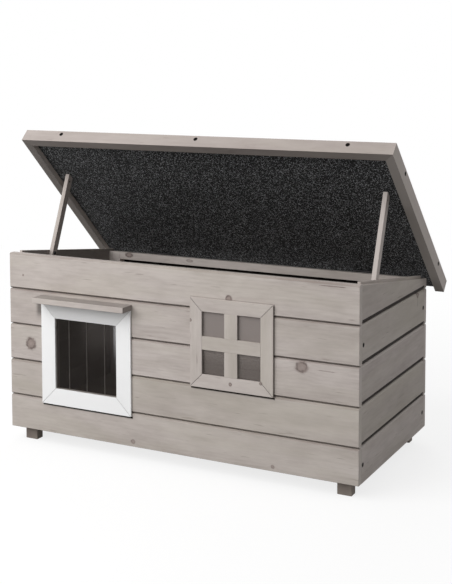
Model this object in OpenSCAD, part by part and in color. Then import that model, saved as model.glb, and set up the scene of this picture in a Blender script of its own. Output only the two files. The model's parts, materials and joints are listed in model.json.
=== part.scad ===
// Outdoor cat house: a shiplap cabin with a flap door, a window and a hinged sloping lid.
// Origin: middle of the footprint at rest, on the ground. X runs across the front, Y to the back.
// Inside the modules, y = 0 is the front wall's outer face and z = 0 is the walls' lower edge.

/* [Walls] */
// Outer width of the walls
body_w = 780; // [670:1:1000]
// Outer depth of the walls
body_d = 384; // [320:1:430]
// Height of the lowest course of boards
first_course = 68; // [50:1:90]
// Height of each course above it
course_h = 75; // [68:1:90]
// Fall of the roof from front to back, in degrees
roof_fall = 8; // [5:0.5:9]
// Thickness of the wall boards
board_t = 14; // [12:0.5:18]
// Chamfer along the long edges of a board
board_chamfer = 2.5; // [1:0.5:3]
// Open gap between two boards in front of their lap
course_gap = 1.5; // [0.5:0.5:3]
// Height of the lap lip behind a board's top edge
lip_h = 5; // [4:0.5:8]
// Thickness of the lap lip
lip_t = 6.2; // [4:0.2:7]
// Distance from the front at which the side walls' top lip starts
lip_start = 24; // [20:1:40]

/* [Base] */
// Height of the feet
foot_h = 29; // [15:1:60]
// Width of a foot
foot_w = 29; // [20:1:40]
// Depth of a foot
foot_d = 19; // [12:1:26]
// Distance from the side walls' outer faces to the feet
foot_inset_x = 21; // [18:1:60]
// Distance from the front and back faces to the feet
foot_inset_y = 19.6; // [18:0.2:24]
// Depth of the bearers that carry the floor
bearer_d = 34; // [30:1:50]
// Height of the bearers
bearer_h = 18; // [12:1:26]
// Thickness of the floor panel
floor_t = 9; // [6:0.5:15]
// Width of a corner post
post_w = 29; // [20:1:40]
// Depth of a corner post and of the back batten
post_d = 19; // [16:1:26]
// Height of the batten along the top of the back wall
batten_h = 20; // [14:1:30]

/* [Door] */
// Width of the door opening
door_w = 148; // [120:1:180]
// Height of the door opening
door_h = 146; // [120:1:160]
// Distance from the left end of the front wall to the door opening
door_inset = 116; // [90:1:130]
// Height of the door's sill above the walls' lower edge
door_sill = 95; // [80:1:110]
// Width of the door frame's boards
door_frame_w = 34; // [20:1:40]
// Thickness of the door frame
door_frame_t = 4; // [3:0.5:10]
// Depth of the awning board
awning_d = 33; // [20:1:60]
// Thickness of the awning board
awning_t = 11.5; // [8:0.5:18]
// Distance by which the awning passes the frame on each side
awning_side = 1.5; // [0:0.5:15]
// Thickness of the flap strips
strip_t = 2; // [1:0.2:3]
// Width of the two middle flap strips
strip_w = 43; // [36:1:48]
// Gap between the flap strips
strip_gap = 0.6; // [0.4:0.1:3]
// Height of the bar that holds the strips
clamp_h = 8; // [6:1:12]
// Depth of the bar that holds the strips
clamp_d = 10; // [8:0.5:12]

/* [Window] */
// Width of the window opening
window_w = 125; // [90:1:150]
// Height of the window opening
window_h = 122; // [90:1:140]
// Distance from the right end of the front wall to the window opening
window_inset = 195.5; // [150:0.5:200]
// Distance of the window opening's top below the joint of the two top courses
window_head = 3; // [2.5:0.5:20]
// Width of the window frame's boards
window_frame_w = 26; // [16:1:34]
// Thickness of the window frame
window_frame_t = 4.5; // [3:0.5:12]
// Width of the glazing bar that crosses the window
cross_w = 26; // [12:1:34]
// Width of the upright glazing bars
upright_w = 28; // [12:1:34]
// Thickness of the clear pane
pane_t = 3; // [2:0.5:6]
// Distance of the pane behind the wall's outer face
pane_set = 0.5; // [0:0.5:6]

/* [Lid] */
// Angle of the open lid above level, in degrees
lid_open = 44; // [20:1:70]
// Gap between the side walls and the lid's rails
lid_side_gap = 11; // [4:0.5:20]
// Gap between the front wall and the lid's front rail
lid_front_gap = 3; // [2:0.5:15]
// Distance by which the lid passes its hinge at the back
lid_rear = 39.5; // [30:0.5:44]
// Height of the lid's rails
rail_h = 28; // [24:1:45]
// Thickness of the lid's rails
rail_t = 19; // [12:1:26]
// Thickness of the roof panel
panel_t = 13; // [9:1:18]
// Thickness of the roofing felt
felt_t = 2; // [1:0.5:4]
// Thickness of the felt lining below the panel
lining_t = 2; // [1:0.5:4]

/* [Hinges] */
// Length of a hinge
hinge_l = 60; // [40:1:90]
// Distance from the side walls' outer faces to the middle of each hinge
hinge_inset = 135; // [100:1:200]
// Width of a hinge leaf
leaf_w = 26; // [16:1:28]
// Thickness of a hinge leaf
leaf_t = 1.5; // [1:0.1:2]
// Diameter of the hinge pin
hinge_pin_d = 2.5; // [2:0.1:2.8]

/* [Props] */
// Length of a prop lath below the pin at its top
prop_l = 175; // [165:1:215]
// Distance of a lath's lower bolt from the pin at its top
prop_bolt_l = 161; // [130:1:163]
// Width of a prop lath, across the house
prop_w = 9; // [7:0.5:16]
// Thickness of a prop lath
prop_t = 15; // [14:1:20]
// Lean of the prop laths from upright, in degrees
prop_lean = 21.3; // [15:0.1:26]
// Distance of the prop pivots in front of the lid's hinge
prop_reach = 273.5; // [240:0.5:285]
// Distance of the prop pivots below the lid's lining
prop_drop = 12.5; // [11:0.5:16]
// Diameter of the prop pins and bolts
prop_pin_d = 4; // [3:0.5:5]
// Thickness of the steel tab in a lath's slotted top
tab_t = 1.5; // [1:0.1:3]

/* [Screws] */
// Diameter of a screw's shank
screw_d = 3.6; // [3:0.1:4.5]
// Diameter of a screw's head
screw_head_d = 7; // [6:0.1:9]
// Length of a screw
screw_l = 30; // [22:1:32]
// Distance of the front rail's outer screws from the inner corners of the lid
front_screw_inset = 75; // [30:1:150]
// Distance of the side rails' front screws from the inner corners of the lid
side_screw_front = 61; // [30:1:120]
// Distance of the side rails' rear screws from the lid's rear edge
side_screw_rear = 76; // [30:1:120]

/* [Hidden] */
$fn = 48;

// Fits: a seated gap, a turning gap and the play of a lap joint
seat_gap = 0.3;
turn_gap = 0.05;
lap_play = 0.2;
// The walls' holes are this much larger than the openings that their frames leave
hole_gap = 2;
// A cut passes the face that it leaves by this much
over = 1;

courses = 5;
front_h = first_course + (courses - 1) * course_h;
inner_x = body_w / 2 - board_t;
inner_back = body_d - board_t;
floor_top = bearer_h + floor_t;

// The hinge: its knuckles clear both the wall and the lining by the seated gap
knuckle_wall = 1.05;
knuckle_r = hinge_pin_d / 2 + turn_gap + knuckle_wall;
hinge_set = knuckle_r + seat_gap;
hinge_y = body_d + hinge_set;
hinge_z = front_h - hinge_y * tan(roof_fall) + (lip_h + seat_gap - hinge_set) / cos(roof_fall);
hinge_x = body_w / 2 - hinge_inset;
knuckles = 5;
knuckle_l = hinge_l / knuckles;

// The lid, in its own frame: y runs back from the hinge and z stands square to the lid.
// Closed, its lining lies the seated gap above the side walls' lip.
lining_z = hinge_set;
lid_top = lining_z + lining_t + panel_t + felt_t;
rail_z = lid_top - rail_h;
lid_front_in = hinge_y / cos(roof_fall) + lid_front_gap;
lid_front = lid_front_in + rail_t;
lid_in_x = body_w / 2 + lid_side_gap;
lid_out_x = lid_in_x + rail_t;

// The prop laths lie close inside the side walls
prop_gap = seat_gap + 2 * turn_gap;
prop_x = inner_x - prop_gap - prop_w / 2;
prop_pivot_z = lining_z - prop_drop;
prop_tilt = lid_open - prop_lean;
tab_w = 3 * prop_pin_d;
tab_root = 10;
bolt_head_h = 2.5;

// Middles of the door and the window, and the window's sill
door_x = door_inset + door_w / 2 - body_w / 2;
window_x = body_w / 2 - window_inset - window_w / 2;
window_sill = course_z0(courses - 1) - window_head - window_h;

// Strips hang from an axis half their thickness below the top of the door opening,
// with their front faces just behind the wall's face and their lower ends above the sill
door_top = door_sill + door_h;
strip_set = 1;
strip_y = strip_t / 2 + strip_set;
strip_axis_z = door_top - strip_t / 2;
strip_lift = 2;

// Screws: two courses of each side wall, and the lid's rails
screw_courses = [0, 3];
screw_y = board_t + post_d / 3;
screw_head_h = screw_head_d / 2 - screw_d / 2;
rail_screw_z = lining_z + lining_t + panel_t / 2;
front_screw_xs = [front_screw_inset - lid_in_x, 0, lid_in_x - front_screw_inset];
side_screw_ys = [side_screw_front - lid_front_in, lid_rear - side_screw_rear];

// Middle of the footprint between the awning's front edge and the open lid's rear edge
rear_reach = lid_rear * cos(lid_open) + lid_top * sin(lid_open);
y_mid = (hinge_y + rear_reach - awning_d) / 2;

front_wood = [0.72, 0.70, 0.68];
side_wood = [0.62, 0.59, 0.57];
inner_wood = [0.60, 0.57, 0.53];
rail_wood = [0.80, 0.78, 0.76];
white_paint = [0.92, 0.92, 0.91];
felt_black = [0.16, 0.16, 0.17];
clear_sheet = [0.78, 0.84, 0.86, 0.5];
steel = [0.16, 0.16, 0.17];

function course_z0(k) = k == 0 ? 0 : first_course + (k - 1) * course_h;
function course_z1(k) = first_course + k * course_h;
function slope_z(y) = front_h - y * tan(roof_fall);

module place() {
    translate([0, -y_mid, foot_h]) children();
}

module on_lid() {
    place() translate([0, hinge_y, hinge_z]) rotate([-lid_open, 0, 0]) children();
}

module mirrored_x() {
    children();
    mirror([1, 0, 0]) children();
}

// Turns an outline in (y, z) into a bar along x, and one in (x, z) into a bar along y
module along_x(x0, x1) {
    translate([x0, 0, 0]) rotate([90, 0, 90]) linear_extrude(x1 - x0) children();
}

module along_y(y0, y1) {
    translate([0, y1, 0]) rotate([90, 0, 0]) linear_extrude(y1 - y0) children();
}

module block(x0, x1, y0, y1, z0, z1) {
    translate([x0, y0, z0]) cube([x1 - x0, y1 - y0, z1 - z0]);
}

// Section of one shiplap board, from its outer face inwards
module board_section(k, z1, lip) {
    z0 = course_z0(k);
    c = board_chamfer;
    seat = board_t - lip_t - lap_play;
    open_z = z0 + course_gap;
    lap_z = z0 + lip_h + lap_play;
    bottom = k > 0
        ? [[board_t, lap_z], [seat, lap_z], [seat, open_z], [c, open_z], [0, open_z + c]]
        : [[board_t, z0], [0, z0]];
    top = lip
        ? [[0, z1 - c], [c, z1], [board_t - lip_t, z1], [board_t - lip_t, z1 + lip_h], [board_t, z1 + lip_h]]
        : [[0, z1 - c], [c, z1], [board_t, z1]];
    polygon(concat(top, bottom));
}

// Everything below the line of the sloping wall tops, raised by lift
module under_slope(lift = 0, y0 = -over) {
    y1 = body_d + over;
    along_x(-body_w, body_w)
        polygon([[y0, -over], [y1, -over], [y1, slope_z(y1) + lift], [y0, slope_z(y0) + lift]]);
}

module door_hole() {
    half = door_w / 2 + hole_gap;
    block(door_x - half, door_x + half, -over, board_t + over,
        door_sill - hole_gap, door_top + seat_gap + clamp_h);
}

module window_hole() {
    half = window_w / 2 + hole_gap;
    block(window_x - half, window_x + half, -over, board_t + over,
        window_sill - hole_gap, window_sill + window_h + hole_gap);
}

module front_board(k) {
    color(front_wood) place() difference() {
        along_x(-body_w / 2, body_w / 2) board_section(k, course_z1(k), k < courses - 1);
        door_hole();
        window_hole();
    }
}

module back_board(k) {
    top_course = k == courses - 1;
    color(side_wood) place() intersection() {
        translate([0, body_d, 0]) mirror([0, 1, 0])
            along_x(-body_w / 2, body_w / 2) board_section(k, course_z1(k), !top_course);
        under_slope();
    }
}

module left_wall_board(k) {
    top_course = k == courses - 1;
    difference() {
        union() {
            intersection() {
                translate([-body_w / 2, 0, 0]) along_y(board_t, inner_back) board_section(k, course_z1(k), !top_course);
                under_slope();
            }
            if (top_course)
                intersection() {
                    translate([-body_w / 2, 0, 0]) block(board_t - lip_t, board_t, lip_start, inner_back,
                        course_z0(k) + lip_h + lap_play, front_h + lip_h);
                    under_slope(lip_h / cos(roof_fall));
                }
        }
        wall_screw_shapes(turn_gap);
    }
}

module left_board(k) {
    color(side_wood) place() left_wall_board(k);
}

module right_board(k) {
    color(side_wood) place() mirror([1, 0, 0]) left_wall_board(k);
}

// The four corner posts stand on the bearers, in notches of the floor panel
module post_shapes() {
    mirrored_x() for (y0 = [board_t, inner_back - post_d])
        block(inner_x - post_w, inner_x, y0, y0 + post_d, bearer_h, front_h);
}

module corner_posts() {
    color(inner_wood) place() difference() {
        intersection() {
            post_shapes();
            under_slope();
        }
        mirrored_x() wall_screw_shapes(turn_gap);
    }
}

module floor_bearers() {
    color(inner_wood) place()
        for (y0 = [board_t, inner_back - bearer_d])
            block(-inner_x, inner_x, y0, y0 + bearer_d, 0, bearer_h);
}

module floor_panel() {
    color(inner_wood) place() difference() {
        block(-inner_x, inner_x, board_t, inner_back, bearer_h, floor_top);
        post_shapes();
    }
}

module feet() {
    x0 = body_w / 2 - foot_inset_x - foot_w;
    color(front_wood) place()
        mirrored_x() for (y0 = [foot_inset_y, body_d - foot_inset_y - foot_d])
            block(x0, x0 + foot_w, y0, y0 + foot_d, -foot_h, 0);
}

module back_batten() {
    half = inner_x - post_w;
    y0 = inner_back - post_d;
    color(inner_wood) place() intersection() {
        block(-half, half, y0, inner_back, slope_z(y0) - batten_h, front_h);
        under_slope();
    }
}

// One mitred board of a frame round an opening, on the front wall's face.
// turn 0 is the bottom board, 1 the right, 2 the top and 3 the left.
module frame_board(w, h, fw, t, turn) {
    a = [w, h, w, h][turn] / 2;
    b = [h, w, h, w][turn] / 2;
    along_y(-t, 0) rotate(turn * 90)
        polygon([[-a, -b], [-a - fw, -b - fw], [a + fw, -b - fw], [a, -b]]);
}

module door_frame(turn) {
    color(white_paint) place() translate([door_x, 0, door_sill + door_h / 2])
        frame_board(door_w, door_h, door_frame_w, door_frame_t, turn);
}

module window_frame(turn) {
    color(front_wood) place() translate([window_x, 0, window_sill + window_h / 2])
        frame_board(window_w, window_h, window_frame_w, window_frame_t, turn);
}

module door_awning() {
    half = door_w / 2 + door_frame_w + awning_side;
    z0 = door_top + door_frame_w;
    color(front_wood) place()
        block(door_x - half, door_x + half, -awning_d, 0, z0, z0 + awning_t);
}

module flap_clamp() {
    half = door_w / 2 + hole_gap;
    z0 = door_top + seat_gap;
    color(inner_wood) place()
        block(door_x - half, door_x + half, 0, clamp_d, z0, z0 + clamp_h);
}

// Strip n of four: the middle two are whole, the outer two fill what is left of the opening
module flap_strip(n) {
    edge = door_w / 2 - strip_gap;
    edges = [-edge, -strip_w, 0, strip_w, edge];
    x0 = door_x + edges[n - 1] + (n > 1 ? strip_gap / 2 : 0);
    x1 = door_x + edges[n] - (n < 4 ? strip_gap / 2 : 0);
    drop = strip_axis_z - door_sill - strip_lift;
    color(clear_sheet) place() translate([0, strip_y, strip_axis_z]) along_x(x0, x1) union() {
        circle(d = strip_t);
        translate([-strip_t / 2, -drop]) square([strip_t, drop]);
    }
}

module window_cross_bar() {
    zc = window_sill + window_h / 2;
    color(front_wood) place()
        block(window_x - window_w / 2, window_x + window_w / 2,
            -window_frame_t, 0, zc - cross_w / 2, zc + cross_w / 2);
}

module window_upright_bars() {
    bar_h = (window_h - cross_w) / 2;
    color(front_wood) place()
        for (z0 = [window_sill, window_sill + window_h - bar_h])
            block(window_x - upright_w / 2, window_x + upright_w / 2, -window_frame_t, 0, z0, z0 + bar_h);
}

module window_pane() {
    play = hole_gap - seat_gap;
    half = window_w / 2 + play;
    color(clear_sheet) place()
        block(window_x - half, window_x + half, pane_set, pane_set + pane_t,
            window_sill - play, window_sill + window_h + play);
}

module lid_layer(z0, thick) {
    block(-lid_in_x, lid_in_x, -lid_front_in, lid_rear, z0, z0 + thick);
}

module roof_panel() {
    color(inner_wood) on_lid() difference() {
        lid_layer(lining_z + lining_t, panel_t);
        lid_screw_shapes(turn_gap);
        prop_tab_shapes(turn_gap);
    }
}

module roof_felt() {
    color(felt_black) on_lid() lid_layer(lid_top - felt_t, felt_t);
}

module roof_lining() {
    color(felt_black) on_lid() difference() {
        lid_layer(lining_z, lining_t);
        prop_tab_shapes(turn_gap);
    }
}

module lid_rail_front() {
    color(rail_wood) on_lid() difference() {
        translate([0, 0, rail_z]) linear_extrude(rail_h)
            polygon([[-lid_out_x, -lid_front], [lid_out_x, -lid_front],
                [lid_in_x, -lid_front_in], [-lid_in_x, -lid_front_in]]);
        lid_screw_shapes(turn_gap);
    }
}

module side_rail() {
    difference() {
        translate([0, 0, rail_z]) linear_extrude(rail_h)
            polygon([[lid_out_x, -lid_front], [lid_out_x, lid_rear],
                [lid_in_x, lid_rear], [lid_in_x, -lid_front_in]]);
        lid_screw_shapes(turn_gap);
    }
}

module lid_rail_left() {
    color(rail_wood) on_lid() mirror([1, 0, 0]) side_rail();
}

module lid_rail_right() {
    color(rail_wood) on_lid() side_rail();
}

// A leaf hangs down from the hinge's axis, its back on the plane y = -hinge_set.
// first is 0 for the leaf with the outer knuckles and 1 for the one between them.
module hinge_leaf(first) {
    x0 = -hinge_l / 2;
    notch = knuckle_r + 2 * seat_gap;
    difference() {
        union() {
            block(x0, x0 + hinge_l, -hinge_set, leaf_t - hinge_set, -leaf_w, 0);
            for (k = [first : 2 : knuckles - 1])
                translate([x0 + k * knuckle_l, 0, 0]) rotate([0, 90, 0])
                    cylinder(r = knuckle_r, h = knuckle_l);
        }
        for (k = [1 - first : 2 : knuckles - 1])
            block(x0 + k * knuckle_l - seat_gap, x0 + (k + 1) * knuckle_l + seat_gap,
                -hinge_set - over, over, -notch, over);
        translate([x0 - over, 0, 0]) rotate([0, 90, 0])
            cylinder(d = hinge_pin_d + 2 * turn_gap, h = hinge_l + 2 * over);
        leaf_screw_holes();
    }
}

module leaf_screw_holes() {
    for (x = [-1, 1] * hinge_l / 3)
        translate([x, -hinge_set - over, -leaf_w * 0.6]) rotate([-90, 0, 0])
            cylinder(d = screw_d, h = leaf_t + 2 * over);
}

module hinge_wall_leaves() {
    color(steel) place() for (x = [-hinge_x, hinge_x])
        translate([x, hinge_y, hinge_z]) hinge_leaf(0);
}

// The lid's leaves lie under the lining behind the hinge's axis
module hinge_lid_leaves() {
    color(steel) on_lid() for (x = [-hinge_x, hinge_x])
        translate([x, 0, 0]) rotate([90, 0, 0]) mirror([0, 1, 0]) hinge_leaf(1);
}

module hinge_pins() {
    color(steel) place() for (x = [-hinge_x, hinge_x])
        translate([x - hinge_l / 2, hinge_y, hinge_z]) rotate([0, 90, 0])
            cylinder(d = hinge_pin_d, h = hinge_l);
}

// Outline of a lath round the pin at its top, seen from the right with the lath upright.
// The bevelled top stops against the lining, and the corner behind it is turned off to fold.
module prop_outline() {
    reach = prop_drop - prop_gap;
    long = prop_l + prop_t;
    intersection() {
        translate([-prop_t / 2, -prop_l]) square([prop_t, long]);
        rotate(-prop_tilt) translate([-long, reach - 2 * long]) square(2 * long);
        union() {
            circle(r = reach + 2 * turn_gap);
            translate([-long, -long]) square([2 * long, long]);
            rotate(-prop_tilt) translate([-long, -long]) square([long, 2 * long]);
        }
    }
}

// Puts things on a lath's pin, with the lath along z; side is -1 on the left and 1 on the right
module on_prop(side) {
    on_lid() translate([side * prop_x, -prop_reach, prop_pivot_z]) rotate([prop_tilt, 0, 0]) children();
}

module prop_lath(side) {
    slot = tab_t / 2 + seat_gap;
    slot_reach = tab_w / 2 + seat_gap;
    color(rail_wood) on_prop(side) difference() {
        along_x(-prop_w / 2, prop_w / 2) prop_outline();
        block(-slot, slot, -slot_reach, prop_t, -slot_reach, prop_t);
        pin_along_x(prop_pin_d + 2 * turn_gap, prop_w + 2 * over);
        translate([0, 0, -prop_bolt_l]) pin_along_x(prop_pin_d + 2 * turn_gap, prop_w + 2 * over);
    }
}

module pin_along_x(d, l) {
    rotate([0, 90, 0]) cylinder(d = d, h = l, center = true);
}

module prop_left() {
    prop_lath(-1);
}

module prop_right() {
    prop_lath(1);
}

// A bolt through the lath's lower end, with a low head on the side of the cabin
module prop_bolt(side) {
    color(steel) on_prop(side) translate([0, 0, -prop_bolt_l]) {
        pin_along_x(prop_pin_d, prop_w);
        translate([-side * prop_w / 2, 0, 0]) rotate([0, -side * 90, 0])
            cylinder(r1 = prop_pin_d, r2 = prop_pin_d * 0.6, h = bolt_head_h);
    }
}

module prop_pins() {
    color(steel) for (side = [-1, 1])
        on_prop(side) pin_along_x(prop_pin_d, prop_w);
}

// Steel tabs stand in slots in the lining and the panel, and reach down to the laths' pins
module prop_tab_shapes(play) {
    half = tab_t / 2 + play;
    for (side = [-1, 1])
        translate([side * prop_x, -prop_reach, prop_pivot_z]) along_x(-half, half) union() {
            circle(d = tab_w);
            translate([-tab_w / 2 - play, 0])
                square([tab_w + 2 * play, prop_drop + lining_t + tab_root + play]);
        }
}

module prop_tabs() {
    color(steel) difference() {
        on_lid() prop_tab_shapes(0);
        for (side = [-1, 1])
            on_prop(side) pin_along_x(prop_pin_d + 2 * turn_gap, prop_w);
    }
}

// A countersunk screw with its head at z = 0, pointing down. With play it is the hole for one,
// which also runs out past the face.
module screw(play) {
    r = screw_d / 2 + play;
    head_r = screw_head_d / 2 + play;
    translate([0, 0, -screw_l - play]) cylinder(r = r, h = screw_l + play);
    translate([0, 0, -screw_head_h]) cylinder(r1 = r, r2 = head_r, h = screw_head_h);
    if (play > 0) cylinder(r = head_r, h = over);
}

// The left wall's screws run through the boards into the corner posts
module wall_screw_shapes(play) {
    for (k = screw_courses, y = [screw_y, body_d - screw_y])
        translate([-body_w / 2, y, (course_z0(k) + course_z1(k)) / 2]) rotate([0, -90, 0]) screw(play);
}

module wall_screws() {
    color(steel) place() mirrored_x() wall_screw_shapes(0);
}

// The rails' screws run into the edges of the roof panel
module lid_screw_shapes(play) {
    for (x = front_screw_xs)
        translate([x, -lid_front, rail_screw_z]) rotate([90, 0, 0]) screw(play);
    mirrored_x() for (y = side_screw_ys)
        translate([lid_out_x, y, rail_screw_z]) rotate([0, 90, 0]) screw(play);
}

module lid_screws() {
    color(steel) on_lid() lid_screw_shapes(0);
}

front_board(0);  // front_board_1
front_board(1);  // front_board_2
front_board(2);  // front_board_3
front_board(3);  // front_board_4
front_board(4);  // front_board_5
back_board(0);  // back_board_1
back_board(1);  // back_board_2
back_board(2);  // back_board_3
back_board(3);  // back_board_4
back_board(4);  // back_board_5
left_board(0);  // left_board_1
left_board(1);  // left_board_2
left_board(2);  // left_board_3
left_board(3);  // left_board_4
left_board(4);  // left_board_5
right_board(0);  // right_board_1
right_board(1);  // right_board_2
right_board(2);  // right_board_3
right_board(3);  // right_board_4
right_board(4);  // right_board_5
corner_posts();
floor_bearers();
floor_panel();
feet();
back_batten();
door_frame(0);  // door_frame_bottom
door_frame(1);  // door_frame_right
door_frame(2);  // door_frame_top
door_frame(3);  // door_frame_left
door_awning();
flap_clamp();
flap_strip(1);  // flap_strip_1
flap_strip(2);  // flap_strip_2
flap_strip(3);  // flap_strip_3
flap_strip(4);  // flap_strip_4
window_frame(0);  // window_frame_bottom
window_frame(1);  // window_frame_right
window_frame(2);  // window_frame_top
window_frame(3);  // window_frame_left
window_cross_bar();
window_upright_bars();
window_pane();
roof_panel();
roof_felt();
roof_lining();
lid_rail_front();
lid_rail_left();
lid_rail_right();
hinge_wall_leaves();
hinge_lid_leaves();
hinge_pins();
prop_left();
prop_right();
prop_bolt(-1);  // prop_bolt_left
prop_bolt(1);  // prop_bolt_right
prop_tabs();
prop_pins();
wall_screws();
lid_screws();
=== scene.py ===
"""Looks of an outdoor cat house: grey boards, a white door frame, clear strips and black felt.

Each CAD node is replaced by its own shape with eased edges. What a wood material has to know of
a board (its grain, its tone and its painted shade and highlights) is written into the mesh as
attributes.
Lengths are in metres and follow the CAD's frame, unless a comment says otherwise.
"""

import json
import math
import random
import zlib

import bmesh
import bpy
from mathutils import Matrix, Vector


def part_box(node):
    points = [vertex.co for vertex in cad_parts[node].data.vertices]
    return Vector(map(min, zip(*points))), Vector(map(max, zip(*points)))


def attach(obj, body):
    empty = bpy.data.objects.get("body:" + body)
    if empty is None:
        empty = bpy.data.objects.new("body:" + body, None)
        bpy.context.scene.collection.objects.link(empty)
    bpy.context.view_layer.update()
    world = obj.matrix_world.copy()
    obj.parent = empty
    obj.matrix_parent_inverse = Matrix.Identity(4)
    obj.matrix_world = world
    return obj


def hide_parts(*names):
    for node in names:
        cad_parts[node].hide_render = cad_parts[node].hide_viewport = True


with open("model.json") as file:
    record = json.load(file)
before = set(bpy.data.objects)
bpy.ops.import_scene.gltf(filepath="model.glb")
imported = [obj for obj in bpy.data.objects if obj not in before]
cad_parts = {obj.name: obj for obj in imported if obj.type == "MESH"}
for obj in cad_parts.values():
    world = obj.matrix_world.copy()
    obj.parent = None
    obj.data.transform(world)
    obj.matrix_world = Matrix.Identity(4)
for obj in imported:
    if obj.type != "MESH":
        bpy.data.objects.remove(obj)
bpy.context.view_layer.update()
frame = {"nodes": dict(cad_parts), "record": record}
node_body = {n: b for b, ns in frame["record"]["behaviour"]["bodies"].items() for n in ns}
node_slot = {s["node"]: s["material_slot"] for s in frame["record"]["subparts"]}

# Photograph: 452 x 584 pixels. The camera was fitted to the corners of the house.
LONG_SIDE = 584
FOCAL_PX = 1146.3
SENSOR = 36.0
CAM_AT = (1.1202, -2.09016, 0.8043)
CAM_YAW, CAM_PITCH = 26.383, -4.175
SHIFT_X, SHIFT_Y = -0.05, -0.26
CLIP_END = 200

# Directions along and across the pieces at rest
LID_OPEN = math.radians(44)
PROP_LEAN = math.radians(21.3)
X, Y, Z = Vector((1, 0, 0)), Vector((0, 1, 0)), Vector((0, 0, 1))
LID_Y = Vector((0, math.cos(LID_OPEN), -math.sin(LID_OPEN)))
LID_Z = Vector((0, math.sin(LID_OPEN), math.cos(LID_OPEN)))
LATH = Vector((0, math.sin(PROP_LEAN), math.cos(PROP_LEAN)))
LATH_ACROSS = Vector((0, math.cos(PROP_LEAN), -math.sin(PROP_LEAN)))

WALL_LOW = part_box("front_board_1")[0]
SAME_POINT = 1e-6
SAME_FACE = 1e-5


def at(x, y, z):
    """A point given in millimetres from the front wall's lower left corner."""
    return WALL_LOW + Vector((x, y, z)) / 1000


def srgb(r, g, b):
    return tuple(pow((c / 255 + 0.055) / 1.055, 2.4) for c in (r, g, b)) + (1.0,)


def brighter(colour, factor):
    return tuple(min(1.0, c * factor) for c in colour[:3]) + (1.0,)


# ---------------------------------------------------------------- materials

class Net:
    """Builds a node tree. A socket is fed by a plain value or by another node's output."""

    def __init__(self, owner, output="ShaderNodeOutputMaterial"):
        self.owner = owner
        self.owner.use_nodes = True
        self.tree = owner.node_tree
        self.tree.nodes.clear()
        self.out = self.node(output)

    def node(self, kind, **settings):
        made = self.tree.nodes.new(kind)
        for key, value in settings.items():
            setattr(made, key, value)
        return made

    def feed(self, socket, value):
        if isinstance(value, bpy.types.NodeSocket):
            self.tree.links.new(value, socket)
        else:
            socket.default_value = value

    def fed(self, made, values):
        for socket, value in zip(made.inputs, values):
            self.feed(socket, value)
        return made.outputs[0]

    def math(self, operation, *values, clamp=False):
        return self.fed(self.node("ShaderNodeMath", operation=operation, use_clamp=clamp), values)

    def plus(self, a, b, clamp=False):
        return self.math("ADD", a, b, clamp=clamp)

    def minus(self, a, b):
        return self.math("SUBTRACT", a, b)

    def times(self, a, b, clamp=False):
        return self.math("MULTIPLY", a, b, clamp=clamp)

    def times_plus(self, a, b, c):
        return self.math("MULTIPLY_ADD", a, b, c)

    def distance(self, a, b):
        return self.math("SQRT", self.plus(self.times(a, a), self.times(b, b)))

    def most(self, values):
        total = values[0]
        for value in values[1:]:
            total = self.math("MAXIMUM", total, value)
        return total

    def vector(self, operation, *values):
        made = self.node("ShaderNodeVectorMath", operation=operation)
        self.fed(made, values)
        return made.outputs["Value" if operation == "LENGTH" else "Vector"]

    def split(self, vector):
        made = self.node("ShaderNodeSeparateXYZ")
        self.feed(made.inputs[0], vector)
        return made.outputs[0], made.outputs[1], made.outputs[2]

    def attribute(self, name):
        made = self.node("ShaderNodeAttribute", attribute_name=name)
        return self.split(made.outputs["Vector"])

    def place(self):
        return self.node("ShaderNodeTexCoord").outputs["Object"]

    def noise(self, vector, scale=1.0, detail=2.0, rough=0.5):
        made = self.node("ShaderNodeTexNoise")
        self.feed(made.inputs["Vector"], vector)
        self.feed(made.inputs["Scale"], scale)
        self.feed(made.inputs["Detail"], detail)
        self.feed(made.inputs["Roughness"], rough)
        return made.outputs[0]

    def stretched(self, parts, scales, detail, rough):
        """Noise whose cells are stretched: one scale for each coordinate, in cells per metre."""
        scaled = [self.times(part, scale) for part, scale in zip(parts, scales)]
        return self.noise(self.fed(self.node("ShaderNodeCombineXYZ"), scaled), 1.0, detail, rough)

    def ramp(self, value, x0, x1, y0=0.0, y1=1.0):
        made = self.node("ShaderNodeMapRange", interpolation_type="SMOOTHSTEP")
        return self.fed(made, (value, x0, x1, y0, y1))

    def mix(self, factor, a, b):
        made = self.node("ShaderNodeMix", data_type="RGBA")
        for index, value in ((0, factor), (6, a), (7, b)):
            self.feed(made.inputs[index], value)
        return made.outputs[2]

    def bump(self, height, strength, distance):
        made = self.node("ShaderNodeBump")
        self.feed(made.inputs["Strength"], strength)
        self.feed(made.inputs["Distance"], distance)
        self.feed(made.inputs["Height"], height)
        return made.outputs[0]

    def shader(self, kind, **values):
        """A shader node. An underscore in a key stands for the blank in the socket's name."""
        made = self.node(kind)
        for key, value in values.items():
            self.feed(made.inputs[key.replace("_", " ")], value)
        return made.outputs[0]

    def end(self, shader):
        self.tree.links.new(shader, self.out.inputs["Surface"])
        return self.owner

    def surface(self, colour, rough, normal, **values):
        return self.end(self.shader("ShaderNodeBsdfPrincipled", Base_Color=colour, Roughness=rough,
                                    Normal=normal, **values))

    def seen_directly(self):
        """1 for rays from the camera, also by way of a mirror or through a clear sheet."""
        path = self.node("ShaderNodeLightPath")
        seen = self.plus(path.outputs["Is Camera Ray"], path.outputs["Is Glossy Ray"], clamp=True)
        return self.plus(seen, path.outputs["Is Transmission Ray"], clamp=True)


def material(name):
    return Net(bpy.data.materials.new(name))


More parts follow.
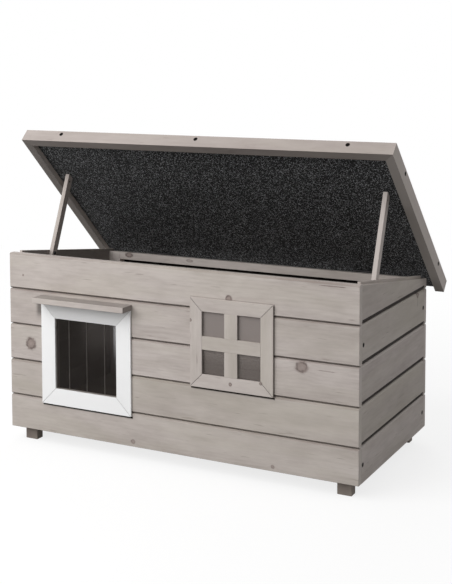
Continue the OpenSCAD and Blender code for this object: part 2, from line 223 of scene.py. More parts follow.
# Noises of the wood: cells per metre along the board, across it and through it, detail, roughness
WANDER = ((1.6, 7, 7), 2, 0.5)
PATCH = ((2.2, 16, 16), 2, 0.5)
CLOUD = ((13, 42, 42), 3, 0.6)
STREAK = ((20, 230, 230), 3, 0.6)
FIBRE = ((38, 1300, 1300), 2, 0.6)
FADE = ((1.1, 22, 22), 1, 0.5)
FLECK = ((22, 260, 260), 1, 0.5)
HUE = ((4, 26, 26), 1, 0.5)
# How much each part of the figure darkens the wood
PATCH_WEIGHT, CLOUD_WEIGHT, STREAK_WEIGHT, FIBRE_WEIGHT = 0.50, 0.52, 0.20, 0.22
LATE_WEIGHT, FLECK_WEIGHT = 0.05, 0.30
# Painted light: how much lighter end faces are painted as a highlight, then how much a chamfer's
# painted shade darkens the wood, a negative shade being a painted highlight
END_HIGHLIGHT, CHAMFER_SHADE_WEIGHT = -0.35, 0.55
EVEN_TONE = 0.22
RING_WIDTH = 0.0052
RING_WANDER = 5.0
RING_SHARPNESS = 2.2
# Knots, measured in their own radius
KNOT_REACH = (3.6, 0.6)
KNOT_EDGE = (1.35, 0.70)
KNOT_RIM, KNOT_RIM_WIDTH = 0.80, (0.30, 0.04)
KNOT_CORE = (0.36, 0.10)
SPOT_COLOUR, SPOT_STRENGTH = srgb(134, 119, 113), 0.80
RIM_COLOUR, RIM_STRENGTH = srgb(88, 76, 72), 0.72
CORE_COLOUR, CORE_STRENGTH = srgb(165, 154, 148), 0.40
YELLOWED = srgb(182, 176, 162)
# Colour and strength of the shade and shadow painted on the wood
SHADE_COLOUR, SHADE_STRENGTH = srgb(12, 9, 8), 0.98
# The shadow painted on a wall round a frame: from no shadow to full shadow
RIGHT_LINE = (0.0024, 0.0008)
RIGHT_PAST = 0.0020
OUTLINE, OUTLINE_STRENGTH = (0.0018, 0.0010), 0.28
CORNER_SIDE, CORNER_FOOT, CORNER_TOP = (0.0190, 0.0080), (-0.042, -0.022), (-0.001, -0.008)
# Painted shade of a countersink round a screw's head: its distance from the screw's axis where it
# starts and where it is full
COUNTERSINK_SHADE = (0.0050, 0.0038)


def knot_at(net, parts, plane, centre, size):
    """How far a point is from a knot's middle: 1 on its rim."""
    a, b = {"xz": (0, 2), "yz": (1, 2)}[plane]
    along = net.math("DIVIDE", net.minus(parts[a], centre[a]), size[0])
    up = net.math("DIVIDE", net.minus(parts[b], centre[b]), size[1])
    return net.distance(along, up)


def knotted(net, parts, knots, rings):
    """Bends the rings round the knots. Gives the rings, then the knots' spots, rims and cores."""
    ragged = net.noise(net.place(), 150, 2, 0.6)
    uneven = net.ramp(net.noise(net.place(), 95, 1), 0.35, 0.60, 0.35, 1.0)
    spots, rims, cores = [], [], []
    for plane, centre, size, strength in knots:
        far = knot_at(net, parts, plane, centre, size)
        rough = net.times_plus(ragged, 0.7, net.minus(far, 0.35))
        rings = net.plus(rings, net.times(net.ramp(far, *KNOT_REACH), 0.9))
        rim = net.ramp(net.math("ABSOLUTE", net.minus(rough, KNOT_RIM)), *KNOT_RIM_WIDTH)
        rims.append(net.times(net.times(rim, uneven), strength))
        spots.append(net.times(net.ramp(rough, *KNOT_EDGE), strength))
        cores.append(net.times(net.ramp(rough, *KNOT_CORE), strength))
    return rings, net.most(spots), net.most(rims), net.most(cores)


def frame_shadow(net, parts, low, high, width, side, corner):
    """The shadow painted on a wall round a frame that stands on it: 1 where it is darkest.

    low and high are the frame's corners and width is that of the painted shadow below it. side is
    the strength right of the frame, and corner is that of the shadow left of its upper left corner.
    """
    left_by = net.minus(low.x, parts[0])
    right_by = net.minus(parts[0], high.x)
    below_by = net.minus(low.z, parts[2])
    above_by = net.minus(parts[2], high.z)
    below = net.ramp(below_by, width, 0.5 * width)
    below = net.times(below, net.math("GREATER_THAN", below_by, 0.0))
    below = net.times(below, net.math("LESS_THAN", right_by, RIGHT_PAST))
    below = net.times(below, net.math("LESS_THAN", left_by, 0.0))
    level = net.times(net.math("LESS_THAN", below_by, width), net.math("LESS_THAN", above_by, 0.0))
    right = net.times(net.times(net.ramp(right_by, *RIGHT_LINE), side), level)
    right = net.times(right, net.math("GREATER_THAN", right_by, 0.0))
    off = net.most([left_by, right_by, below_by, above_by])
    outline = net.ramp(off, *OUTLINE, 0.0, OUTLINE_STRENGTH)
    dark = net.most([below, right, outline])
    if corner:
        spot = net.times(net.ramp(left_by, *CORNER_SIDE), net.ramp(above_by, *CORNER_FOOT))
        spot = net.times(spot, net.math("GREATER_THAN", left_by, 0.0))
        spot = net.times(spot, net.ramp(above_by, *CORNER_TOP))
        dark = net.math("MAXIMUM", dark, net.times(spot, corner))
    return dark


def countersink_shade(net, head, axis):
    """Painted shade of the countersink round a screw's head: 1 up to its edge."""
    off = net.vector("SUBTRACT", net.place(), head)
    return net.ramp(net.vector("LENGTH", net.vector("CROSS_PRODUCT", off, axis)), *COUNTERSINK_SHADE)


def wood(name, light, dark, knots=(), contrast=1.0, frames=(), heads=()):
    """Planed softwood under a thin wash. Rings lie round a pith outside the board."""
    net = material(name)
    board = net.attribute("grain")
    tone, warmth, end = net.attribute("piece")
    groove, painted_shade, faces_front = net.attribute("groove")
    parts = net.split(net.place())
    wander, patch, cloud, streak, fibre, fade, fleck, hue = (
        net.stretched(board, *noise)
        for noise in (WANDER, PATCH, CLOUD, STREAK, FIBRE, FADE, FLECK, HUE))
    rings = net.math("DIVIDE", net.distance(*board[1:]), RING_WIDTH)
    rings = net.plus(rings, net.times(wander, RING_WANDER))
    if knots:
        rings, spot, rim, core = knotted(net, parts, knots, rings)
    wave = net.math("SINE", net.times(rings, 2 * math.pi))
    late = net.math("POWER", net.times_plus(wave, 0.5, 0.5), RING_SHARPNESS)

    dim = net.times(net.times(late, net.ramp(fade, 0.35, 0.65, 0.25, 1.0)), LATE_WEIGHT * contrast)
    for value, weight in ((patch, PATCH_WEIGHT), (cloud, CLOUD_WEIGHT),
                          (streak, STREAK_WEIGHT), (fibre, FIBRE_WEIGHT)):
        dim = net.times_plus(net.minus(value, 0.5), weight * contrast, dim)
    dim = net.times_plus(net.ramp(fleck, 0.70, 0.80), FLECK_WEIGHT * contrast, dim)
    # End faces are painted lighter as a highlight, and chamfers get painted shade and painted
    # highlights
    dim = net.times_plus(end, END_HIGHLIGHT, dim)
    dim = net.times_plus(groove, CHAMFER_SHADE_WEIGHT, dim)
    dim = net.plus(dim, net.minus(EVEN_TONE, tone), clamp=True)
    yellow = net.plus(net.times(warmth, 0.22), net.ramp(hue, 0.38, 0.68, 0.0, 0.20), clamp=True)
    colour = net.mix(yellow, net.mix(dim, light, dark), YELLOWED)
    height = net.plus(net.times(fibre, 0.6), net.times(late, 0.25))
    if knots:
        colour = net.mix(net.times(spot, SPOT_STRENGTH), colour, SPOT_COLOUR)
        colour = net.mix(net.times(rim, RIM_STRENGTH), colour, RIM_COLOUR)
        colour = net.mix(net.times(core, CORE_STRENGTH), colour, CORE_COLOUR)
        height = net.minus(height, net.times(rim, 0.5))

    # Painted shade and shadow: the faces' painted shade, the shadow round and under frames and the
    # batten, and the shade round screw heads. It also dulls the shine
    shadow = net.most([painted_shade]
                      + [net.times(frame_shadow(net, parts, *box), faces_front) for box in frames]
                      + [countersink_shade(net, *head) for head in heads])
    colour = net.mix(net.times(shadow, SHADE_STRENGTH, clamp=True), colour, SHADE_COLOUR)
    shine = net.minus(0.25, net.times(shadow, 0.23, clamp=True))
    return net.surface(colour, net.times_plus(streak, 0.2, 0.58), net.bump(height, 0.35, 0.0005),
                       Specular_IOR_Level=shine)


def white_paint(name):
    """Satin paint with faint brush marks along the board and a little grime."""
    net = material(name)
    board = net.attribute("grain")
    brush = net.stretched(board, (9, 420, 420), 3, 0.55)
    grime = net.ramp(net.stretched(board, (6, 30, 30), 2, 0.5), 0.45, 0.8)
    colour = net.mix(net.times(grime, 0.5), srgb(245, 245, 245), srgb(236, 236, 235))
    # Painted shade on mitres and on the faces listed as darker
    _, painted_shade, _ = net.attribute("groove")
    colour = net.mix(net.times(painted_shade, 0.8), colour, srgb(120, 118, 116))
    return net.surface(colour, net.times_plus(brush, 0.16, 0.34), net.bump(brush, 0.22, 0.0004),
                       Specular_IOR_Level=0.4)


def felt(name):
    """Bitumen felt with slate grit: most grains are black and some are grey."""
    net = material(name)
    place = net.place()
    cells = net.node("ShaderNodeTexVoronoi", feature="F1")
    net.feed(cells.inputs["Vector"], place)
    net.feed(cells.inputs["Scale"], 740)
    grit, _, _ = net.split(cells.outputs["Color"])
    clump = net.noise(place, 700, 1, 0.5)
    lit = net.ramp(net.plus(net.times(grit, 0.85), net.times(clump, 0.35)), 0.80, 1.02)
    height = net.plus(net.times(cells.outputs["Distance"], -1.0), net.times(clump, 0.6))
    return net.surface(net.mix(lit, srgb(8, 9, 10), srgb(165, 166, 168)), 0.82,
                       net.bump(height, 0.6, 0.0012), Specular_IOR_Level=0.3)


def steel(name, colour, rough):
    """Blackened steel, worn unevenly."""
    net = material(name)
    grain = net.noise(net.place(), 900, 3)
    worn = net.ramp(net.noise(net.place(), 140, 2), 0.35, 0.7)
    shade = net.mix(worn, colour, brighter(colour, 0.8))
    return net.surface(shade, net.times_plus(grain, 0.2, rough), net.bump(grain, 0.15, 0.0002),
                       Metallic=1.0)


def black_coat(name):
    """The thin black coat on a screw, rubbed a little paler here and there."""
    net = material(name)
    rubbed = net.ramp(net.noise(net.place(), 700, 3, 0.6), 0.45, 0.75)
    return net.surface(net.mix(rubbed, srgb(12, 12, 12), srgb(28, 27, 26)), 0.55,
                       net.bump(rubbed, 0.1, 0.0002), Specular_IOR_Level=0.15)


def scuffs(net):
    """The faint scuffs on a clear sheet."""
    return net.noise(net.place(), 60, 3, 0.6)


def cut_sheet(name, colour):
    """The cut edge of a clear sheet, with faint scuffs. It is paler than its face, partly as its
    own colour and partly as a painted highlight.
    """
    net = material(name)
    scuff = scuffs(net)
    shade = net.mix(net.ramp(scuff, 0.4, 0.75), colour, brighter(colour, 1.35))
    return net.surface(shade, net.times_plus(scuff, 0.12, 0.5), net.bump(scuff, 0.1, 0.0004),
                       Alpha=0.62, Specular_IOR_Level=0.10)


def lit_strips(name, left, low, high, right):
    """Clear strips, painted dark as shade of the doorway behind them. Their upper right part is
    painted paler as painted light, from left on and from low to high, most of all by the door's
    right edge."""
    net = material(name)
    scuff = scuffs(net)
    x, _, z = net.split(net.place())
    # Painted light from the lit inside: over the upper right part, and strongest by the door's
    # right edge
    up = net.ramp(z, low, high)
    inside_light = net.times(up, net.ramp(x, left, left + 0.045))
    edge = net.times(up, net.ramp(x, right - 0.0104, right - 0.0076))
    # The strips' own colour is painted dark, as shade of the doorway behind them
    shade = net.mix(net.ramp(scuff, 0.4, 0.75), srgb(26, 23, 22), srgb(31, 27, 26))
    shade = net.mix(inside_light, shade, srgb(74, 70, 68))
    shade = net.mix(edge, shade, srgb(176, 176, 178))
    return net.surface(shade, net.times_plus(scuff, 0.12, 0.12), net.bump(scuff, 0.1, 0.0004),
                       Alpha=0.42, Specular_IOR_Level=0.10)


def shaded_pane(name, low, high):
    """Clear pane with painted light and shade: thick and pale at the top, thin and dark at the
    bottom.
    """
    net = material(name)
    scuff = scuffs(net)
    _, _, z = net.split(net.place())
    up = net.ramp(net.times_plus(scuff, 0.01, z), low, high)
    # Painted light and shade: pale at the top and dark at the bottom
    shade = net.mix(up, srgb(112, 104, 100), srgb(150, 141, 137))
    return net.surface(shade, net.times_plus(scuff, 0.10, 0.05), net.bump(scuff, 0.1, 0.0004),
                       Alpha=net.ramp(up, 0.0, 1.0, 0.50, 0.72), Specular_IOR_Level=0.15)


# ---------------------------------------------------------------- screws in the CAD

def solids_of(node):
    """The separate solids in a node's mesh, each as a list of its points."""
    made = bmesh.new()
    made.from_mesh(frame["nodes"][node].data)
    bmesh.ops.remove_doubles(made, verts=made.verts, dist=SAME_POINT)
    left, found = set(made.verts), []
    for first in made.verts:
        if first not in left:
            continue
        left.remove(first)
        reached = [first]
        for vertex in reached:
            for edge in vertex.link_edges:
                other = edge.other_vert(vertex)
                if other in left:
                    left.remove(other)
                    reached.append(other)
        found.append([v.co.copy() for v in reached])
    made.free()
    return found


def length_along(points, axis):
    return max(p.dot(axis) for p in points) - min(p.dot(axis) for p in points)


def end_face(points, axis):
    """The points on a solid's end in an axis's direction."""
    top = max(p.dot(axis) for p in points)
    return [p for p in points if p.dot(axis) > top - SAME_FACE]


def heads_of(node, axes):
    """The middle of each screw's head and the way it faces. A screw lies along one of the axes."""
    heads = []
    for points in solids_of(node):
        longest = max(axes, key=lambda a: length_along(points, a))
        axis = max((longest, -longest), key=lambda a: len(end_face(points, a)))
        face = end_face(points, axis)
        heads.append((sum(face, Vector()) / len(face), axis))
    return heads


# ---------------------------------------------------------------- colours of the pieces

# Knots: the plane they lie in, their middle, half their length and height, their strength
FRONT_KNOTS = (
    ("xz", at(52, 0, 181), (0.0125, 0.0125), 1.0),
    ("xz", at(667, 0, 206), (0.0125, 0.0110), 0.9),
    ("xz", at(516, 0, 319), (0.0074, 0.0070), 1.0),
    ("xz", at(300, 0, 10.6), (0.0050, 0.0045), 0.8),
    ("xz", at(608, 0, 8.9), (0.0040, 0.0035), 0.8),
    ("xz", at(34, 0, 323), (0.0022, 0.0022), 0.9),
    ("xz", at(728, 0, 361.5), (0.0240, 0.0010), 0.9),
    ("xz", at(716, 0, 204), (0.0200, 0.0008), 0.6),
)
WINDOW_KNOTS = (
    ("xz", at(521, 0, 156), (0.0032, 0.0036), 1.0),
    ("xz", at(585, 0, 166), (0.0032, 0.0034), 0.9),
    ("xz", at(435, 0, 271), (0.0030, 0.0032), 0.9),
)
WALL_KNOTS = (
    ("yz", at(780, 327, 290), (0.0070, 0.0065), 1.0),
    ("yz", at(780, 327, 275), (0.0016, 0.0110), 0.5),
)
INNER_KNOTS = (
    ("xz", at(69, 350, 313), (0.0105, 0.0055), 1.0),
    ("xz", at(231, 350, 312), (0.0085, 0.0035), 0.5),
)

WASH = (srgb(197, 188, 183), srgb(142, 130, 125))
# A darker wash, used on the feet as painted shade
SHADED_WASH = (srgb(172, 162, 157), srgb(120, 108, 103))
BARE = (srgb(160, 149, 142), srgb(108, 97, 91))

# Boxes with a painted shadow round them: two corners, then the shadow's width, side and corner
FRAMES = [(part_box(f"{name}_frame_bottom")[0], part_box(f"{name}_frame_top")[1], *values)
          for name, values in (("door", (0.0056, 0.15, 0.65)), ("window", (0.0060, 0.45, 0.0)))]
BATTEN_CUT = 0.0028
BATTEN_LOW, BATTEN_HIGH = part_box("back_batten")
# A shadow painted on the back wall's inner face, under the batten
BATTEN_SHADOW = [(BATTEN_LOW + Vector((0, 0, BATTEN_CUT)), BATTEN_HIGH, 0.014, 0.0, 0.0)]
PANE_LOW, PANE_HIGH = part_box("window_pane")
# Where the painted light on the door's strips starts and ends
STRIP_LIGHT_LOW, STRIP_LIGHT_HIGH = at(160, 0, 150), at(264, 0, 245)

WALL_HEADS = heads_of("wall_screws", (X,))
LID_HEADS = heads_of("lid_screws", (X, LID_Y))
materials = {
    "front_wood": wood("front_wood", *WASH, FRONT_KNOTS, 1.8, FRAMES),
    "wall_wood": wood("wall_wood", *WASH, WALL_KNOTS, 1.6, BATTEN_SHADOW, WALL_HEADS),
    "inner_wood": wood("inner_wood", *BARE),
    "window_wood": wood("window_wood", *WASH, WINDOW_KNOTS, 1.5),
    "rail_wood": wood("rail_wood", *WASH, contrast=0.9, heads=LID_HEADS),
    "white_paint": white_paint("white_paint"),
    "clear_pvc": lit_strips("clear_pvc", STRIP_LIGHT_LOW.x, STRIP_LIGHT_LOW.z, STRIP_LIGHT_HIGH.z, STRIP_LIGHT_HIGH.x),
    "clear_pane": shaded_pane("clear_pane", PANE_LOW.z + 0.02, PANE_HIGH.z - 0.05),
    "felt": felt("felt"),
    "black_steel": steel("black_steel", srgb(52, 51, 52), 0.42),
}
worn_wood = wood("worn_wood", *SHADED_WASH, contrast=1.5)
batten_wood = wood("batten_wood", *WASH, INNER_KNOTS, 1.5)
cut_edge = cut_sheet("pvc_cut_edge", srgb(190, 185, 180))
black_screws = black_coat("black_screws")


# ---------------------------------------------------------------- pieces

FLAT_ANGLE = math.radians(0.4)
EASE_ANGLE = math.radians(30)
EASE_SEGMENTS = 2
DIAGONAL = math.sqrt(0.5)
CHAMFER_SLANT = 0.8
FACING = 0.9
# The small bevel where mitred pieces meet: the least and most its normal leans, and the largest
# difference
MITRE_LEAST, MITRE_MOST, MITRE_UNEVEN = 0.15, 0.68, 0.08
# How dark the shade painted on that bevel is
MITRE_SHADE = 0.55
# Painted shade on the chamfers of the wall boards: how dark the chamfer under a board is painted,
# and the painted tone of its top chamfer, a painted highlight where negative
UNDER_CHAMFER_SHADE = {"front": 0.42, "side": 0.92}
TOP_CHAMFER_SHADE = {"front": 1.0, "side": -1.2}


def own_copy(node):
    """A mesh of the node's own shape with its split corners joined and its flat faces whole."""
    mesh = frame["nodes"][node].data.copy()
    made = bmesh.new()
    made.from_mesh(mesh)
    bmesh.ops.remove_doubles(made, verts=made.verts, dist=SAME_POINT)
    bmesh.ops.dissolve_limit(made, angle_limit=FLAT_ANGLE, verts=made.verts, edges=made.edges)
    made.to_mesh(mesh)
    made.free()
    if "custom_normal" in mesh.attributes:
        mesh.attributes.remove(mesh.attributes["custom_normal"])
    mesh.shade_smooth()
    return mesh


def settle(piece):
    """Puts the result of a piece's modifiers into its mesh."""
    view = bpy.context.evaluated_depsgraph_get()
    mesh = bpy.data.meshes.new_from_object(piece.evaluated_get(view), preserve_all_data_layers=True,
                                           depsgraph=view)
    piece.modifiers.clear()
    piece.data = mesh


def on_mitre(normal, mitre):
    """1 on the small bevel where two mitred pieces meet: its normal leans equally to both
    directions.
    """
    if mitre is None:
        return 0.0
    a, b = abs(normal.dot(mitre[0])), abs(normal.dot(mitre[1]))
    return float(min(a, b) > MITRE_LEAST and abs(a - b) < MITRE_UNEVEN and max(a, b) < MITRE_MOST)


def grain(piece, along, across, box, warm=None, shade=0.0, mitre=None, walls=None, darker=()):
    """Gives each point its place along and across the board, and each face its tone and painted
    shade.

    shade makes a piece lighter and warm makes it yellower. mitre holds the directions of a mitred
    frame. walls says whose chamfers it has, and darker lists directions and their painted shade.
    """
    dice = random.Random(zlib.crc32(piece.name.encode()))
    mesh = piece.data
    depth = along.cross(across)
    middle = (box[0] + box[1]) / 2
    start = dice.uniform(0, 40)
    pith = Vector((0, dice.uniform(-0.05, 0.05), dice.uniform(0.03, 0.07)))
    spots = mesh.attributes.new("grain", "FLOAT_VECTOR", "POINT")
    for vertex, spot in zip(mesh.vertices, spots.data):
        off = vertex.co - middle
        spot.vector = Vector((off.dot(along) + start, off.dot(across), off.dot(depth))) + pith
    tone = dice.uniform(-0.07, 0.07)
    warmth = dice.uniform(0.0, 0.6) if warm is None else warm
    tones = mesh.attributes.new("piece", "FLOAT_VECTOR", "FACE")
    grooves = mesh.attributes.new("groove", "FLOAT_VECTOR", "FACE")
    for face, spot, groove in zip(mesh.polygons, tones.data, grooves.data):
        normal = face.normal
        # The last value marks end faces, which the wood paints lighter as a highlight
        spot.vector = (tone + shade, warmth, abs(normal.dot(along)) ** 4)
        slant = abs(abs(normal.dot(across)) - DIAGONAL) + abs(abs(normal.dot(depth)) - DIAGONAL)
        # Painted shade: on a mitre's bevel, on chamfers, and on faces that face the ways listed in
        # darker
        chamfer_shade, painted_shade = 0.0, MITRE_SHADE * on_mitre(normal, mitre)
        # Wall chamfers: the one under a board gets painted shade, and the top one a painted tone
        # that is shade where positive and a painted highlight where negative
        if walls and slant < CHAMFER_SLANT:
            if normal.dot(across) < 0:
                chamfer_shade, painted_shade = 1.0, UNDER_CHAMFER_SHADE[walls]
            else:
                chamfer_shade = TOP_CHAMFER_SHADE[walls]
        for way, strength in darker:
            if normal.dot(way) > FACING:
                painted_shade = strength
        groove.vector = (chamfer_shade, painted_shade, float(normal.y < -FACING))


def hand_in(piece, node):
    """Puts a piece on its node's body, in its place, and hides the node."""
    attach(piece, node_body[node])
    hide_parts(node)


def dress(node, along=None, across=None, bevel=0.8, look=None, shift=None, **paint):
    """Replaces a node by its own shape with edges eased by the bevel, in millimetres.

    Pieces of wood say which way they run along and across, and paint is what grain takes.
    look is a material other than the slot's, and shift changes the copied mesh.
    """
    piece = bpy.data.objects.new("look_" + node, own_copy(node))
    if shift:
        shift(piece.data)
    bpy.context.scene.collection.objects.link(piece)
    ease = piece.modifiers.new("ease", "BEVEL")
    ease.width = bevel / 1000
    ease.segments = EASE_SEGMENTS
    ease.limit_method = "ANGLE"
    ease.angle_limit = EASE_ANGLE
    ease.harden_normals = True
    settle(piece)
    if along is not None:
        grain(piece, along, across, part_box(node), **paint)
    piece.data.materials.clear()
    piece.data.materials.append(look or materials[node_slot[node]])
    hand_in(piece, node)
    return piece


# A screw's rings from its head's rim to its point: radius and height, in millimetres
SCREW_RINGS = ((3.20, -0.55), (3.45, -0.75), (3.45, -0.85),
               (1.75, -1.80), (1.75, -28.5), (0.40, -30.0))
SCREW_SIDES = 24
# The cross recess: half its length, half the width of an arm, its depth, how much it narrows
RECESS, RECESS_ARM, RECESS_DEEP, RECESS_TAPER = 2.1, 0.55, 1.3, 0.6


def add_screw(made, head, axis):
    """A countersunk screw with a cross recess in its head, which lies just under the surface."""
    side = axis.orthogonal().normalized()
    other = axis.cross(side)

    def spot(x, y, z):
        return made.verts.new(head + (side * x + other * y + axis * z) / 1000)

    def pairs(ring):
        return zip(ring, ring[1:] + ring[:1])

    def walls(above, below):
        for (a, b), (c, d) in zip(pairs(above), pairs(below)):
            made.faces.new((a, c, d, b))

    turns = [2 * math.pi / SCREW_SIDES * n for n in range(SCREW_SIDES)]
    rings = [[spot(r * math.cos(t), r * math.sin(t), z) for t in turns] for r, z in SCREW_RINGS]
    for above, below in zip(rings, rings[1:]):
        walls(above, below)
    made.faces.new(list(reversed(rings[-1])))
    a, b = RECESS_ARM, RECESS
    cross = [(b, -a), (b, a), (a, a), (a, b), (-a, b), (-a, a),
             (-b, a), (-b, -a), (-a, -a), (-a, -b), (a, -b), (a, -a)]
    rim = [spot(x, y, SCREW_RINGS[0][1]) for x, y in cross]
    foot = [spot(RECESS_TAPER * x, RECESS_TAPER * y, -RECESS_DEEP) for x, y in cross]
    walls(rim, foot)
    made.faces.new(foot)
    edges = [made.edges.get(pair) for ring in (rim, rings[0]) for pair in pairs(ring)]
    bmesh.ops.triangle_fill(made, edges=edges, use_beauty=True)


def screws(node, heads):
    """Replaces a node of plain screws by screws with a recess."""
    made = bmesh.new()
    for head, axis in heads:
        add_screw(made, head, axis)
    bmesh.ops.recalc_face_normals(made, faces=made.faces)
    mesh = bpy.data.meshes.new("look_" + node)
    made.to_mesh(mesh)
    made.free()
    mesh.materials.append(black_screws)
    piece = bpy.data.objects.new("look_" + node, mesh)
    bpy.context.scene.collection.objects.link(piece)
    hand_in(piece, node)


UNDERCUT = 0.0050
LOW_EDGE = 5e-4
OUTER_FACE = 1e-4


def lift_low_edge(vertices, by):
    low = min(v.co.z for v in vertices)
    for vertex in vertices:
        if vertex.co.z < low + LOW_EDGE:
            vertex.co.z += by


def undercut(mesh):
    """Makes the chamfer under a side wall's board taller: its upper edge moves up the face."""
    face_x = max(abs(v.co.x) for v in mesh.vertices)
    lift_low_edge([v for v in mesh.vertices if abs(v.co.x) > face_x - OUTER_FACE], UNDERCUT)


def trim_batten(mesh):
    """Lifts the batten's lower edge a little, so that the gap under it shows, darkened by the
    shadow painted on the wall.
    """
    lift_low_edge(list(mesh.vertices), BATTEN_CUT)


# Warmth and shade of the boards in view, and shade on the side walls' inner faces
WALL_TONE = {
    "front_board_2": (0.9, 0.0), "front_board_3": (0.1, 0.02),
    "front_board_4": (0.3, 0.0), "front_board_5": (0.4, 0.02),
    "right_board_1": (0.0, 0.03), "right_board_2": (1.0, 0.0), "right_board_3": (0.0, 0.05),
    "right_board_4": (1.0, 0.0), "right_board_5": (0.5, -0.02),
}
INNER_SHADOW = {"left": ((X, 0.38),), "right": ((-X, 0.38),)}
COURSES, STRIPS = 5, 4
for k in range(1, COURSES + 1):
    for side, along in (("front", X), ("back", X), ("left", Y), ("right", Y)):
        warm, shade = WALL_TONE.get(f"{side}_board_{k}", (None, 0.0))
        kind = "side" if along == Y else "front"
        dress(f"{side}_board_{k}", along, Z, 0.7, warm=warm, shade=shade, walls=kind,
              shift=undercut if kind == "side" and k > 1 else None,
              darker=INNER_SHADOW.get(side, ()))

for node, along, across, bevel, shade, look in (
    # The corner posts are painted lighter, as painted light falling in through the open top
    ("corner_posts", Z, X, 1.0, 0.25, batten_wood),
    ("floor_bearers", X, Y, 1.0, 0.0, None),
    ("floor_panel", X, Y, 0.6, 0.0, None),
    # The feet get a darker wash and tone, as painted shade under the house
    ("feet", Z, X, 1.0, -1.2, worn_wood),
    ("flap_clamp", X, Z, 0.5, 0.0, None),
    ("roof_panel", X, LID_Y, 0.4, 0.0, None),
    ("prop_left", LATH, LATH_ACROSS, 0.8, -0.12, batten_wood),
    ("prop_right", LATH, LATH_ACROSS, 0.8, 0.2, batten_wood),
):
    dress(node, along, across, bevel, look, shade=shade)
# The awning's top and right end are painted darker: painted shade
dress("door_awning", X, Y, 1.2, batten_wood, shade=0.10, darker=((Z, 0.40), (X, 0.50)))
dress("back_batten", X, Z, 0.8, batten_wood, trim_batten)
dress("window_cross_bar", X, Z, 0.6, warm=0.9, shade=0.08)
# The bars' faces that face right are painted darker: painted shade
dress("window_upright_bars", Z, X, 0.6, warm=0.7, shade=0.06, darker=((X, 0.55),))

for side, along, shade, shadow in (
    ("front", X, -0.24, 0.48), ("left", LID_Y, 0.20, 0.64), ("right", LID_Y, 0.20, 0.47),
):
    dress(f"lid_rail_{side}", along, LID_Z, 0.8, warm=0.2, shade=shade, mitre=(X, LID_Y),
          darker=((-LID_Z, shadow),))

DOOR_SHADOW = {"top": ((-Y, 0.36),)}
WINDOW_SHADOW = ((X, 0.38),)
for name in ("door", "window"):
    for side, along, across, warm, shade in (
        ("left", Z, X, 0.0, 0.06), ("right", Z, X, 0.9, 0.06),
        ("bottom", X, Z, 0.1, 0.30), ("top", X, Z, 0.4, -0.04),
    ):
        dress(f"{name}_frame_{side}", along, across, 0.6, warm=warm, shade=shade, mitre=(X, Z),
              darker=WINDOW_SHADOW if name == "window" else DOOR_SHADOW.get(side, ()))

for node in ("hinge_wall_leaves", "hinge_lid_leaves", "hinge_pins",
             "prop_bolt_left", "prop_bolt_right", "prop_tabs", "prop_pins"):
    dress(node, bevel=0.2)
screws("wall_screws", WALL_HEADS)
screws("lid_screws", LID_HEADS)
for k in range(1, STRIPS + 1):
    strip = dress(f"flap_strip_{k}", bevel=0.3)
    strip.data.materials.append(cut_edge)
    for face in strip.data.polygons:
        face.material_index = int(abs(face.normal.x) > 0.5)
dress("window_pane", bevel=0.3)
for node in ("roof_felt", "roof_lining"):
    dress(node, bevel=0.4)


# ---------------------------------------------------------------- studio

FLOOR_HALF = 40.0
FLOOR_FADE = (0.9, 2.6)
FLOOR_GREY = 0.32
PALE_GREY = 0.24
FLOOR_LIFT = 0.78
SKY_STRENGTH = 0.33


def grey(value):
    return (value, value, value, 1)


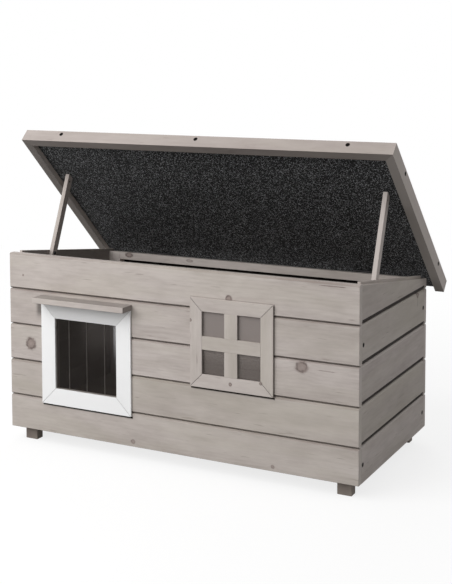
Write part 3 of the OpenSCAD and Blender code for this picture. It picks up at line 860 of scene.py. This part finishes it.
def build_stage():
    """A pale floor that keeps the shadow near the house and turns white further out."""
    half = FLOOR_HALF
    mesh = bpy.data.meshes.new("floor")
    mesh.from_pydata([(-half, -half, 0), (half, -half, 0), (half, half, 0), (-half, half, 0)],
                     [], [(0, 1, 2, 3)])
    floor = bpy.data.objects.new("floor", mesh)
    bpy.context.scene.collection.objects.link(floor)
    net = material("floor")
    x, y, _ = net.split(net.place())
    far = net.ramp(net.distance(x, y), *FLOOR_FADE)
    pale = net.shader("ShaderNodeBsdfDiffuse", Color=grey(PALE_GREY))
    lift = net.shader("ShaderNodeEmission", Strength=FLOOR_LIFT)
    lifted = net.fed(net.node("ShaderNodeAddShader"), (pale, lift))
    white = net.shader("ShaderNodeEmission")
    seen_floor = net.fed(net.node("ShaderNodeMixShader"), (far, lifted, white))
    plain = net.shader("ShaderNodeBsdfDiffuse", Color=grey(FLOOR_GREY))
    mesh.materials.append(net.end(net.fed(net.node("ShaderNodeMixShader"),
                                          (net.seen_directly(), plain, seen_floor))))


def build_world():
    """Soft light from all round in front of a white background."""
    net = Net(bpy.data.worlds.new("studio"), "ShaderNodeOutputWorld")
    soft = net.shader("ShaderNodeBackground", Color=grey(1), Strength=SKY_STRENGTH)
    white = net.shader("ShaderNodeBackground", Color=grey(1))
    bpy.context.scene.world = net.end(net.fed(net.node("ShaderNodeMixShader"),
                                              (net.seen_directly(), soft, white)))


def lamp(name, spot, aim, size, power):
    data = bpy.data.lights.new(name, "AREA")
    data.shape = "DISK"
    data.size = size
    data.energy = power
    made = bpy.data.objects.new(name, data)
    made.location = spot
    made.rotation_euler = (Vector(aim) - Vector(spot)).to_track_quat("-Z", "Y").to_euler()
    bpy.context.scene.collection.objects.link(made)


def build_camera():
    data = bpy.data.cameras.new("camera")
    data.sensor_width = SENSOR
    data.lens = FOCAL_PX * SENSOR / LONG_SIDE
    data.shift_x = SHIFT_X
    data.shift_y = SHIFT_Y
    data.clip_end = CLIP_END
    camera = bpy.data.objects.new("camera", data)
    camera.location = CAM_AT
    camera.rotation_euler = (math.radians(90 + CAM_PITCH), 0, math.radians(CAM_YAW))
    bpy.context.scene.collection.objects.link(camera)
    bpy.context.scene.camera = camera


build_stage()
build_world()
lamp("key", (-1.15, -2.05, 1.85), (0, 0, 0.3), 3.0, 78)
lamp("back", (-0.9, 2.7, 1.9), (0, 0, 0.3), 2.0, 34)
lamp("side", (2.6, 0.0, 2.2), (0, 0, 0.35), 1.8, 7.5)
build_camera()
bpy.context.scene.view_settings.view_transform = "Standard"
